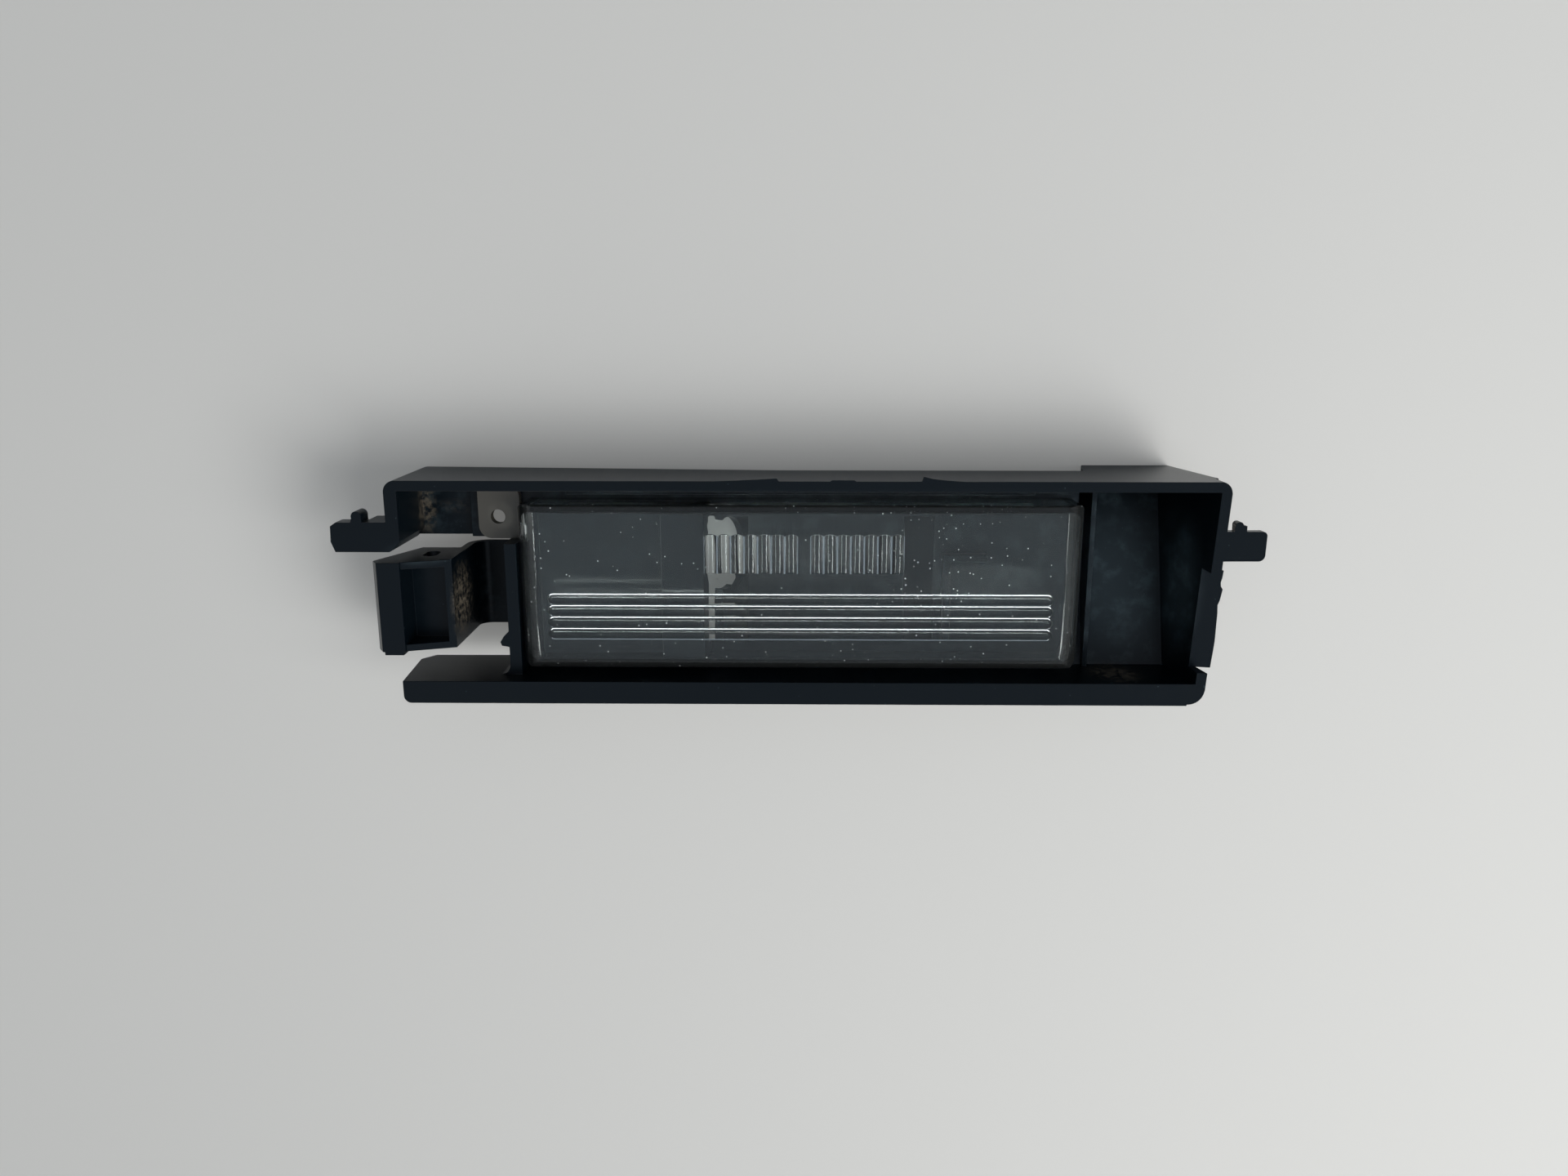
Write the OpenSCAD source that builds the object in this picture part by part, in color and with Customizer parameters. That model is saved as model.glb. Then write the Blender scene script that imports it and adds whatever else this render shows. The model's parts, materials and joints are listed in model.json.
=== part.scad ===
// Number plate lamp: a black moulded housing with a snap latch on a curved leaf, and a clear lens.
// Origin: middle of the rim's front plane. X runs along the lamp, Y up the rim, +Z out of the lens.

/* [Rim] */
// Length of the rim along its top edge
rim_w = 127.6; // [124:0.2:132]
// Height of the rim
rim_h = 35.2; // [34.6:0.1:37]
// Thickness of the top wall
top_wall_t = 1.6; // [1.2:0.1:2]
// Thickness of the left end wall
left_wall_t = 2; // [1.4:0.1:2.6]
// Thickness of the right end wall
right_wall_t = 1.5; // [1.2:0.1:2]
// Thickness of the bottom wall behind the lip
bottom_wall_t = 1.7; // [1.2:0.1:2]
// Width of the lip along the bottom
lip_w = 3.6; // [3:0.1:4]
// Thickness of the lip along the bottom
lip_t = 2.2; // [1.4:0.1:3]
// How far the bottom bar's left end stands in from the left wall
bar_inset = 0.7; // [0:0.1:2]
// Radius of the rim's outer corners
rim_corner_r = 1.8; // [1:0.1:2.4]
// Slant of the right end in plan, in degrees
right_plan_angle = 2.8; // [0:0.2:4]
// Slope of the right end inwards with depth, in degrees
right_slope = 11; // [8:0.5:13]
// Radius of the rim's lower right corner
low_corner_r = 2.5; // [1:0.1:3]

/* [Shell] */
// Depth of the back plane that the lamp lies on
back_depth = 19.6; // [19:0.2:22]
// Depth of the top wall at its left end
top_depth_left = 16.7; // [14:0.1:18]
// Depth of the top wall behind the lens
top_depth_mid = 12.6; // [12:0.1:14]
// Depth of the bottom wall
bottom_depth = 14.4; // [13:0.1:16]
// Thickness of the floors
floor_t = 1.6; // [1.2:0.1:1.8]
// Depth of the open recess at the top left
recess_depth = 12; // [11:0.1:13]
// Height of the open recess under the top wall
recess_h = 8.8; // [8:0.1:9.4]
// Groove between the lens bay and the box of the closed end
groove_w = 1.9; // [1.4:0.1:2.4]
// Depth of the top of the thin wall beside the groove
divider_drop = 9.2; // [8:0.1:11]
// How far the slanting floor of the closed end rises towards the lip
end_rise = 7.7; // [5:0.1:9]

/* [Lens] */
// Length of the latch's end of the lamp, from the rim's left end to the lens
latch_end_l = 18.9; // [18.2:0.1:20]
// Length of the closed end, from the rim's right end to the lens
closed_end_l = 20.7; // [18:0.1:24]
// Gap above the lens, under the top wall
lens_top_gap = 2.4; // [2:0.1:3]
// Gap below the lens, above the lip
lens_low_gap = 1.2; // [0.6:0.1:2]
// How far the lens face lies below the rim
lens_drop = 2.2; // [1.8:0.1:2.6]
// Depth of the lens from its face to its foot
lens_depth = 7.8; // [7.2:0.1:8.4]
// Wall of the lens
lens_t = 1.2; // [1:0.1:1.7]
// Radius of the rounded sides
lens_side_r = 3.6; // [2:0.1:4.2]
// Radius of the rounded lower edge
lens_bottom_r = 2.1; // [1.8:0.1:3]
// Radius of the lens corners in plan
lens_corner_r = 3; // [2:0.1:4]
// Clearance between the lens and the walls round it
lens_gap = 0.2; // [0.1:0.05:0.4]

/* [Lens tab] */
// Length of the fixing tab beyond the lens
tab_l = 7; // [6.4:0.1:7.8]
// Thickness of the tab
tab_t = 1.6; // [1:0.1:2]
// Radius of the hole in the tab
tab_hole_r = 1.15; // [0.8:0.05:1.6]
// Place of the hole, out from the lens side
tab_hole_out = 3.9; // [3.4:0.1:4.4]
// Place of the hole, up from the tab's lower edge
tab_hole_up = 3.5; // [2.8:0.1:4]
// Radius of the tab's free lower corner
tab_corner_r = 2; // [1:0.1:2.4]
// How far the pad under the tab reaches past it
pad_margin = 1.6; // [1:0.1:2.4]
// Radius of the wider hole in the pad
pad_hole_r = 2.2; // [1.8:0.1:2.4]

/* [Optics] */
// Pitch of the long flutes that run across the lens
flute_pitch = 1.85; // [1.7:0.05:2]
// Number of long flutes
flute_lines = 4; // [3:1:5]
// Place of the top flute's upper edge, up from the middle of the lens
flute_top = -0.9; // [-1.2:0.1:-0.4]
// Length of the long flutes
flute_l = 79; // [74:0.5:80]
// How far the flutes stand out of the inner face
flute_rise = 0.52; // [0.3:0.01:0.6]
// Pitch of the upright ribs in the two optic patches
rib_pitch = 2.08; // [1.9:0.02:2.1]
// How far the upright ribs stand out of the inner face
rib_rise = 0.5; // [0.3:0.01:0.6]
// Ribs in each patch
ribs = 7; // [5:1:7]
// Height of the patches
patch_h = 6.1; // [5:0.1:7]
// Gap between the two patches
patch_gap = 1.9; // [1.4:0.1:2.4]
// Place of the patches, up from the middle of the lens
patch_up = 5.4; // [5:0.1:6]

/* [Bulb chamber] */
// Radius of the bulb holder's hole
bulb_r = 5.85; // [5.4:0.05:5.9]
// Outer radius of its two bayonet slots
slot_r = 7.1; // [6.8:0.05:7.2]
// Width of the bayonet slots
slot_w = 3; // [2.4:0.1:3.4]
// Turn of the slots from upright, in degrees
slot_turn = 32; // [20:1:40]
// Lean of the wall that carries the hole, in degrees
bulb_lean = 25; // [18:1:26]
// Place of the hole, left of the middle of the lens
bulb_left = 12.2; // [11:0.1:13]
// Place of the hole, up from the middle of the lens
bulb_up = 3.9; // [3:0.1:4]
// Length of the chamber at its mouth, from the middle of the hole
chamber_l = 33.6; // [30:0.2:37]
// Thickness of the hood's top
hood_t = 1.2; // [1:0.1:1.2]
// How far the low part of the hood stands below its high part
hood_step = 2.8; // [2:0.1:3.4]
// Length of the high part of the hood
hood_l = 6; // [5:0.1:8]

/* [Tongues] */
// Height of both end tongues
tongue_h = 4.6; // [4:0.1:5]
// Length of the left tongue beyond the wall
left_tongue_l = 8.6; // [7.5:0.1:9.5]
// Length of its thick root
left_tongue_root = 3.5; // [3:0.1:4]
// Thickness of its root and of its tip
left_root_t = 6.3; // [5:0.1:7]
left_tip_t = 3; // [2.4:0.1:3.6]
// How far the left tongue stands below the recess
left_tongue_drop = 0.6; // [0:0.1:1.2]
// Length of the right tongue beyond the wall
right_tongue_l = 6; // [5:0.1:7]
// Thickness of the right tongue
right_tongue_t = 1.5; // [1.2:0.1:2]
// How far the right tongue's lower edge lies below the top wall
right_tongue_drop = 10.5; // [9.5:0.1:11.5]
// Height of the nubs on the tongues
nub_h = 1.7; // [1.2:0.1:2]

/* [Latch] */
// Width of the latch box along the lamp
latch_w = 10.8; // [10.2:0.1:11.4]
// Gap between the latch box and the left tongue
latch_top_gap = 1.7; // [1.2:0.1:2.2]
// Gap between the latch box and the bottom wall
latch_low_gap = 4.7; // [4.4:0.1:5.4]
// Depth of the latch box
latch_d = 12.5; // [11.5:0.1:13.5]
// Room to flex, between the box and the wall of the lens bay
latch_travel = 8; // [7:0.1:9]
// Width of the level plate on the box's left
plate_w = 3.6; // [3:0.1:4.2]
// Slope of the press face beside the plate, in degrees
press_angle = 18; // [10:1:22]
// Thickness of the walls round the press pocket
latch_t = 1.1; // [0.8:0.1:1.4]
// Depth of the press pocket below the plate
pocket_d = 5.6; // [5:0.1:7]
// How far the nose of the catch stands out
nose = 1; // [0.6:0.1:1.4]
// Depth of the nose's edge
nose_depth = 1.6; // [1.2:0.1:2.4]
// How far the catch tapers in towards its back
latch_taper = 3.3; // [2.4:0.1:3.8]
// Radius of the hole in the box's upper side
latch_hole_r = 1.1; // [0.8:0.1:1.3]
// Thickness of the curved leaf that carries the box
leaf_t = 1.3; // [1.1:0.1:1.5]
// Inner radius of the leaf's bend
leaf_r = 2; // [1:0.1:3]
// Depth of the leaf's flat run
leaf_depth = 18; // [17.4:0.1:18.2]

/* [Breaks] */
// Length of right wall left whole above the lip
break_low = 1.7; // [1:0.1:3]
// Length of right wall left whole below the tongue
break_high = 1.9; // [1:0.1:3]
// How deep the rim is broken away there
break_d = 3.4; // [2.5:0.1:4]

/* [Hidden] */
$fn = 48;
eps = 0.01;
cut = 1;

// The rim and the inner faces of its walls
xl = -rim_w / 2;
xr = rim_w / 2;
yt = rim_h / 2;
yb = -rim_h / 2;
top_in = yt - top_wall_t;
bottom_in = yb + lip_w;
left_in = xl + left_wall_t;
bar_x = xl + bar_inset;

// The lens, from the gaps round it
lens_x0 = xl + latch_end_l;
lens_x1 = xr - closed_end_l;
lens_y0 = bottom_in + lens_low_gap;
lens_y1 = top_in - lens_top_gap;
lens_x = (lens_x0 + lens_x1) / 2;
lens_y = (lens_y0 + lens_y1) / 2;
lens_inner = -lens_drop - lens_t;
lens_top_r = 0.6;
foot = -lens_drop - lens_depth;
rib_land = 0.06;
rib_end_r = 2.2;
rib_base = lens_inner - rib_land;
patch_shift = 0.65;

// The walls and floors of the lens bay
bay_wall_t = 1.9;
bay_wall_drop = 1.6;
divider_t = 0.8;
bay_left = lens_x0 - lens_gap;
bay_right = lens_x1 + lens_gap;
end_left = bay_right + groove_w;
end_draft = 0.9;
bay_wall_x = bay_left - bay_wall_t;
bay_left_top = -lens_drop - bay_wall_drop;
recess_y = top_in - recess_h;
seat_rib_gap = 0.8;
seat_rib_t = 1.1;
seat_rib_h = 2.4;
corner_rib_w = 1.2;
corner_rib_l = 7;
corner_rib_h = 1.6;
corner_rib_up = 4.3;
hook_y = bottom_in + 4.4;
hook_w = 1.4;
web_r = 1.6;

// The fixing tab and its hole
tab_y0 = recess_y;
tab_y1 = top_in - lens_gap;
tab_x = lens_x0 - tab_l;
tab_top_r = 0.8;
tab_neck_r = 2;
tab_neck = 0.4;
pad_x = tab_x - pad_margin;
tab_hole = [lens_x0 - tab_hole_out, tab_y0 + tab_hole_up];

// The stepped back edges of the top and bottom walls
slope_end = lens_x - 2.6;
step_x = bay_right + 1;
step_run = 1.4;
bar_end_in = 1;
bar_end_out = 0.9;
bar_end_rise = 2.4;
wall_cut = 1.2;

// The bulb chamber, the wall with the hole and the hood beside it
chamber_wall_t = 1.4;
chamber_gap = 0.3;
chamber_draft = 4;
hood_gap = 0.4;
hood_side_gap = 1.6;
deep = back_depth - floor_t;
hood_depth = -rib_base + max(flute_rise, rib_rise) + hood_gap;
hood_low_depth = hood_depth + hood_step;
bulb = [lens_x - bulb_left, lens_y + bulb_up, -(hood_depth + hood_t + deep) / 2];
chamber_x = bulb.x + chamber_l;
chamber_y0 = lens_y0 + lens_t + chamber_gap + chamber_wall_t;
chamber_y1 = lens_y1 - lens_t - chamber_gap - chamber_wall_t;
hood_x = lens_x0 + lens_t + hood_side_gap;
hood_step_x = bulb_wall_x(hood_depth) - hood_l;

// The latch between the left tongue and the bottom wall
left_tongue_y = recess_y - left_tongue_drop;
right_tongue_y = top_in - right_tongue_drop;
latch_x1 = bay_wall_x - latch_travel;
latch_x0 = latch_x1 - latch_w;
latch_y0 = bottom_in + latch_low_gap;
latch_y1 = left_tongue_y - latch_top_gap;
plate_x = latch_x0 + plate_w;
plate_step = 0.5;
press_end = -plate_step - (latch_x1 - plate_x) * tan(press_angle);
nose_land = 0.4;
latch_lip = 0.5;
latch_lip_in = 0.3;
latch_lip_depth = 3;
latch_root = 1;
slot_l = 1.7;
slot_in = 2.8;

// The broken stretch of the right wall, with what is left of it
break_y0 = bottom_in + break_low;
break_y1 = right_tongue_y - break_high;
ledge_t = 2.2;
tear = 1.6;

// Thickness of the slivers that stand up along the rim's top edge
sliver_t = 0.9;

// Underside of the closed end at a place across the lamp
function end_back(y) = -back_depth + (top_in - y) * end_rise / (top_in - bottom_in);

// Middle of the wall with the bulb holder's hole, at a depth
function bulb_wall_x(depth) = bulb.x + (depth + bulb.z) * tan(bulb_lean);

// A box between two corners
module block(a, b) { translate(a) cube(b - a); }

// A profile drawn in X and Z, carried along Y
module along_y(y0, y1) { translate([0, y1, 0]) rotate([90, 0, 0]) linear_extrude(y1 - y0) children(); }

// A profile drawn in Y and Z, carried along X
module along_x(x0, x1) { translate([x0, 0, 0]) rotate([90, 0, 90]) linear_extrude(x1 - x0) children(); }

// What rounds an outer corner at p, where sx and sy point away from the body
module corner_cut(p, sx, sy, r, depth)
{
    difference() {
        translate([p.x - (sx < 0 ? cut : r), p.y - (sy < 0 ? cut : r), -depth])
            cube([r + cut, r + cut, depth + cut]);
        translate([p.x - sx * r, p.y - sy * r, -depth - cut]) cylinder(r = r, h = depth + 3 * cut);
    }
}

// Rectangle from a to b whose corners have the radii given as [low left, low right, top right, top left]
module rounded_rect(a, b, radii)
{
    places = [[a.x, a.y, 1, 1], [b.x, a.y, -1, 1], [b.x, b.y, -1, -1], [a.x, b.y, 1, -1]];
    difference() {
        translate(a) square(b - a);
        for (i = [0:3]) {
            r = radii[i];
            p = places[i];
            if (r > 0) difference() {
                translate([p.x - (p[2] > 0 ? cut : r), p.y - (p[3] > 0 ? cut : r)]) square(r + cut);
                translate([p.x + p[2] * r, p.y + p[3] * r]) circle(r);
            }
        }
    }
}

// Moves what is drawn from the slanting line of the right end, with Y as on the rim
module on_right_end() { translate([xr, yt, 0]) rotate([0, 0, -right_plan_angle]) translate([0, -yt, 0]) children(); }

// Everything inside the slanting, sloping outside of the right end
module right_end_space()
{
    depth = back_depth + cut;
    on_right_end() along_y(yb - rim_h, yt + rim_h) polygon([
        [0, cut], [0, 0], [-depth * tan(right_slope), -depth], [-2 * rim_w, -depth], [-2 * rim_w, cut]
    ]);
}

// Inside of the right end: steep near the rim, so the wall is thickest there
module right_end_inside()
{
    x_back = -right_wall_t - end_draft - back_depth * tan(right_slope);
    on_right_end() along_y(yb - rim_h, yt + rim_h) polygon([
        [-right_wall_t - 0.1, cut], [-right_wall_t - 0.1, 0], [-right_wall_t - 0.3, -break_d],
        [x_back, -back_depth], [x_back, -back_depth - cut], [-2 * rim_w, -back_depth - cut], [-2 * rim_w, cut]
    ]);
}

module top_wall()
{
    along_y(top_in, yt) polygon([
        [xl, 0], [xr, 0], [xr, -back_depth], [step_x + step_run, -back_depth],
        [step_x, -top_depth_mid], [slope_end, -top_depth_mid], [xl, -top_depth_left]
    ]);
}

module bottom_wall()
{
    along_y(bottom_in - bottom_wall_t, bottom_in) polygon([
        [bar_x, 0], [xr, 0], [xr, -bottom_depth], [bar_x + bar_end_in, -bottom_depth],
        [bar_x - bar_end_out, -bottom_depth + bar_end_rise]
    ]);
    block([bar_x, yb, -lip_t], [xr, bottom_in, 0]);
}

module left_wall()
{
    difference() {
        block([xl, left_tongue_y, -recess_depth - floor_t], [left_in, yt, 0]);
        translate([left_in, left_tongue_y, -recess_depth - floor_t - cut]) rotate([0, 0, 45])
            translate([-wall_cut, -wall_cut, 0]) cube([2 * wall_cut, 2 * wall_cut, recess_depth + floor_t + 2 * cut]);
    }
}

// Floor of the recess, the pad under the tab and the floor that the lens foot stands on, with its ribs
module floors()
{
    block([xl, recess_y, -recess_depth - floor_t], [pad_x + floor_t, top_in + eps, -recess_depth]);
    block([pad_x, recess_y, -recess_depth - floor_t], [pad_x + floor_t, top_in + eps, foot]);
    block([pad_x, recess_y, foot - floor_t], [bay_left + eps, top_in + eps, foot]);
    block([bay_left - eps, bottom_in - eps, foot - floor_t], [bay_right, top_in + eps, foot]);
    block([lens_x0 + 2 * lens_side_r, lens_y1 + seat_rib_gap, foot - eps],
        [lens_x1 - 2 * lens_side_r, lens_y1 + seat_rib_gap + seat_rib_t, foot + seat_rib_h]);
    translate([chamber_x + chamber_wall_t, lens_y + corner_rib_up, foot - eps]) linear_extrude(corner_rib_h)
        polygon([
            [0, 0], [corner_rib_l, 0], [corner_rib_l, -corner_rib_w], [corner_rib_w, -corner_rib_w],
            [corner_rib_w, -2 * corner_rib_l], [0, -2 * corner_rib_l]
        ]);
}

// Wall at the latch's end of the lens bay, with its hook
module bay_walls()
{
    block([bay_wall_x, bottom_in - eps, -leaf_depth - leaf_t], [bay_left, recess_y, bay_left_top]);
    translate([bay_wall_x, bottom_in, -bottom_depth]) linear_extrude(bottom_depth + bay_left_top) {
        translate([0, hook_y - bottom_in]) polygon([
            [0.4, 3], [-0.6 * hook_w, 1.8], [-hook_w, 0.9], [-0.85 * hook_w, 0.3], [0.4, 0]
        ]);
        difference() {
            translate([-web_r, -eps]) square(web_r + 0.1);
            translate([-web_r, web_r]) circle(web_r);
        }
    }
}

// A wall across the closed end from x to the right, between its underside and z
module cross_wall(x, t, z)
{
    along_x(x, x + t) polygon([
        [bottom_in - eps, end_back(bottom_in)], [top_in + eps, -back_depth], [top_in + eps, z], [bottom_in - eps, z]
    ]);
}

// Box of the closed end, open to the front, with its slanting floor and the groove beside the lens
module right_end()
{
    along_x(bay_right - divider_t, xr) polygon([
        [bottom_in - eps, end_back(bottom_in)], [top_in + eps, -back_depth],
        [top_in + eps, -back_depth + floor_t], [bottom_in - eps, end_back(bottom_in) + floor_t]
    ]);
    cross_wall(bay_right - divider_t, divider_t, foot - eps);
    cross_wall(end_left, divider_t, -divider_drop);
    difference() {
        along_x(end_left, xr + cut) polygon([
            [yb, 0], [yb, end_back(yb)], [top_in, -back_depth], [yt, -back_depth], [yt, 0]
        ]);
        right_end_inside();
        block([0, yb - cut, -back_depth - cut], [xr + 2 * cut, bottom_in - bottom_wall_t, -lip_t]);
    }
}

// Outside of the bulb chamber and of the hood over the bulb holder
module chamber_outside()
{
    along_y(chamber_y0 - chamber_wall_t, chamber_y1 + chamber_wall_t) polygon([
        [hood_x, foot - floor_t], [hood_x, -hood_low_depth], [hood_step_x, -hood_low_depth],
        [hood_step_x, -hood_depth], [bulb_wall_x(hood_depth) + chamber_wall_t / 2, -hood_depth],
        [bulb_wall_x(hood_depth) + chamber_wall_t, foot], [chamber_x + chamber_wall_t, foot],
        [chamber_x + chamber_wall_t - chamber_draft, -back_depth],
        [bulb_wall_x(back_depth) - chamber_wall_t, -back_depth]
    ]);
}

// Inside of the chamber, open towards the lens
module chamber_inside()
{
    z_top = -hood_depth + cut;
    along_y(chamber_y0, chamber_y1) polygon([
        [bulb_wall_x(-z_top) + chamber_wall_t / 2, z_top], [bulb_wall_x(deep) + chamber_wall_t / 2, -deep],
        [chamber_x - chamber_draft, -deep], [chamber_x, foot], [chamber_x, z_top]
    ]);
}

// Room for the bulb holder behind the hood, open to the back
module holder_room()
{
    high = hood_depth + hood_t;
    low = hood_low_depth + hood_t;
    z_out = back_depth + cut;
    along_y(chamber_y0, chamber_y1) polygon([
        [hood_x + floor_t, -z_out], [hood_x + floor_t, -low], [hood_step_x + hood_t, -low],
        [hood_step_x + hood_t, -high], [bulb_wall_x(high) - chamber_wall_t / 2, -high],
        [bulb_wall_x(z_out) - chamber_wall_t / 2, -z_out]
    ]);
}

// Hole for the bulb holder, with its two bayonet slots
module bulb_hole()
{
    half = 2 * chamber_wall_t;
    translate(bulb) rotate([0, -90 - bulb_lean, 0]) translate([0, 0, -half]) {
        cylinder(r = bulb_r, h = 2 * half);
        rotate([0, 0, 90 - slot_turn]) block([-slot_r, -slot_w / 2, 0], [slot_r, slot_w / 2, 2 * half]);
    }
}

module left_tongue()
{
    x_root = xl - left_tongue_root;
    x_tip = xl - left_tongue_l;
    y0 = left_tongue_y;
    y1 = left_tongue_y + tongue_h;
    block([x_root, y0, -left_root_t], [xl + eps, y1, 0]);
    translate([0, 0, -left_tip_t]) linear_extrude(left_tip_t) {
        polygon([
            [x_root + eps, y0], [x_tip + 0.6, y0], [x_tip, y0 + 1.6], [x_tip + 0.1, y1 - 0.6],
            [x_tip + 1, y1], [x_root + eps, y1]
        ]);
        translate([x_root - 0.9, y1 + nub_h - 0.8]) circle(0.8);
        translate([x_root - 1.9, y1 - 0.2]) polygon([[0, 0], [0.3, nub_h - 0.6], [1.8, nub_h - 0.6], [1.8, 0]]);
    }
}

module right_tongue()
{
    x_wall = xr - right_wall_t;
    x_tip = xr + right_tongue_l - 0.3;
    y0 = right_tongue_y;
    y1 = right_tongue_y + tongue_h;
    translate([0, 0, -right_tongue_t]) linear_extrude(right_tongue_t) {
        rounded_rect([x_wall, y0], [x_tip, y1], [0, 1, 0.7, 0]);
        translate([xr + 0.8, y1 - eps]) square([1.8, nub_h - 0.8]);
        translate([xr + 1.4, y1 + nub_h - 0.8]) circle(0.6);
    }
}

// Oval hole in the box's upper side
module latch_slot()
{
    x = plate_x + slot_in;
    z = -(latch_d + slot_l) / 2 - latch_hole_r;
    translate([x, z]) circle(latch_hole_r);
    translate([x, z + slot_l]) circle(latch_hole_r);
    translate([x - latch_hole_r, z]) square([2 * latch_hole_r, slot_l]);
}

// Box of the latch: a level plate with the catch's nose, and a sloping press face with its pocket
module latch_box()
{
    difference() {
        along_y(latch_y0, latch_y1) polygon([
            [latch_x0, 0], [plate_x, 0], [plate_x, -plate_step], [latch_x1, press_end], [latch_x1, -latch_d],
            [latch_x0 + latch_taper, -latch_d], [latch_x0 - nose, -nose_depth - nose_land],
            [latch_x0 - nose, -nose_depth]
        ]);
        block([plate_x, latch_y0 + latch_t, -pocket_d], [latch_x1 - latch_t, latch_y1 - latch_t, cut]);
        along_y(latch_y1 - latch_t, latch_y1 + cut) latch_slot();
    }
    block([latch_x0 + latch_lip_in, latch_y0 - latch_lip, -latch_lip_depth],
        [plate_x - latch_lip_in, latch_y0 + eps, 0]);
}

// Curved leaf between the latch box and the wall of the lens bay
module leaf()
{
    bend = [latch_x1 + leaf_r, -leaf_depth + leaf_r];
    r = leaf_r + leaf_t;
    along_y(latch_y0, latch_y1) {
        translate([latch_x1 - leaf_t, bend.y - eps]) square([leaf_t, -latch_d + latch_root - bend.y]);
        translate([bend.x - eps, -leaf_depth - leaf_t]) square([bay_wall_x + 2 * eps - bend.x, leaf_t]);
        difference() {
            translate(bend) circle(r);
            translate(bend) circle(leaf_r);
            translate([bend.x - 2 * r, bend.y]) square(4 * r);
            translate([bend.x, bend.y - 2 * r]) square(4 * r);
        }
    }
}

// The broken stretch of the right wall
module rim_break()
{
    on_right_end() block([-right_wall_t - 1.5, break_y0, -break_d], [cut, break_y1, cut]);
}

// What is left of the wall there, pushed outwards and torn along its edge
module torn_ledge()
{
    u0 = -right_wall_t - 0.2;
    l = break_y1 - break_y0;
    on_right_end() translate([0, break_y1, -break_d - ledge_t]) linear_extrude(ledge_t + eps) polygon([
        [u0, -l], [tear, -l], [tear + 0.1, -0.85 * l], [tear + 0.15, -0.73 * l], [tear + 0.05, -0.6 * l],
        [tear - 0.05, -0.44 * l], [tear - 0.2, -0.36 * l], [tear, -0.32 * l], [tear + 0.1, -0.28 * l],
        [tear + 0.25, -0.2 * l], [tear - 0.1, -0.17 * l], [tear - 0.2, -0.13 * l], [tear - 0.05, -0.08 * l],
        [tear, -0.2], [-0.2, -0.4], [u0 + 0.3, 0.4], [u0, -1.4]
    ]);
}

// Slivers of material that stand up along the rim's top edge
module rim_slivers()
{
    translate([lens_x, yt, -sliver_t]) linear_extrude(sliver_t) {
        polygon([[-15.9, -0.1], [-9.1, 0.15], [-3.5, 0.45], [-3.2, -0.1]]);
        polygon([[4.3, -0.1], [4.8, 0.2], [8.1, 0.2], [8.6, -0.1]]);
        polygon([[18.2, -0.1], [18.5, 0.75], [19.8, 0.45], [22, 0.18], [26, -0.1]]);
    }
}

module housing()
{
    color([0.10, 0.12, 0.15]) difference() {
        union() {
            intersection() {
                difference() {
                    union() {
                        top_wall();
                        bottom_wall();
                        right_end();
                    }
                    rim_break();
                }
                right_end_space();
            }
            left_wall();
            floors();
            bay_walls();
            chamber_outside();
            torn_ledge();
            rim_slivers();
            left_tongue();
            right_tongue();
            latch_box();
            leaf();
        }
        chamber_inside();
        holder_room();
        bulb_hole();
        corner_cut([xl, yt], -1, 1, rim_corner_r, top_depth_left + cut);
        corner_cut([bar_x, yb], -1, -1, rim_corner_r - 0.6, lip_t + cut);
        on_right_end() corner_cut([0, yt - 0.05], 1, 1, rim_corner_r, lip_t + 2 * cut);
        on_right_end() corner_cut([0, yb + 0.05], 1, -1, low_corner_r, lip_t + cut);
        translate([tab_hole.x, tab_hole.y, foot - floor_t - cut])
            cylinder(r = pad_hole_r, h = floor_t + 2 * cut);
    }
}

// Solid with the outer or inner form of the lens: t is how far it is moved in
module lens_form(t, z_top, z_low)
{
    intersection() {
        translate([0, 0, z_low]) linear_extrude(z_top - z_low)
            rounded_rect([lens_x0 + t, lens_y0 + t], [lens_x1 - t, lens_y1 - t],
                [lens_corner_r - t / 2, lens_corner_r - t / 2, lens_corner_r / 2, lens_corner_r / 2]);
        along_y(lens_y0 - cut, lens_y1 + cut)
            rounded_rect([lens_x0 + t, z_low - cut], [lens_x1 - t, z_top], [0, 0, lens_side_r - t, lens_side_r - t]);
        along_x(lens_x0 - cut, lens_x1 + cut)
            rounded_rect([lens_y0 + t, z_low - cut], [lens_y1 - t, z_top], [0, 0, lens_top_r, lens_bottom_r - t]);
    }
}

// Radius of a rounded rib from its pitch and from how far it stands out
function rib_radius(pitch, rise) = (pitch * pitch / 4 + rise * rise) / (2 * rise);

// Long flutes: rounded ribs side by side on the inner face, with round ends
module flutes()
{
    r = rib_radius(flute_pitch, flute_rise);
    x = (flute_l - flute_pitch) / 2;
    y_first = lens_y + flute_top - flute_pitch / 2;
    intersection() {
        block([lens_x - flute_l, lens_y0, rib_base - 2 * flute_rise], [lens_x + flute_l, lens_y1, lens_inner + eps]);
        for (i = [0:flute_lines - 1])
            translate([lens_x - x, y_first - i * flute_pitch, rib_base - flute_rise + r]) rotate([0, 90, 0]) {
                cylinder(r = r, h = 2 * x);
                sphere(r = r);
                translate([0, 0, 2 * x]) sphere(r = r);
            }
    }
}

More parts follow.
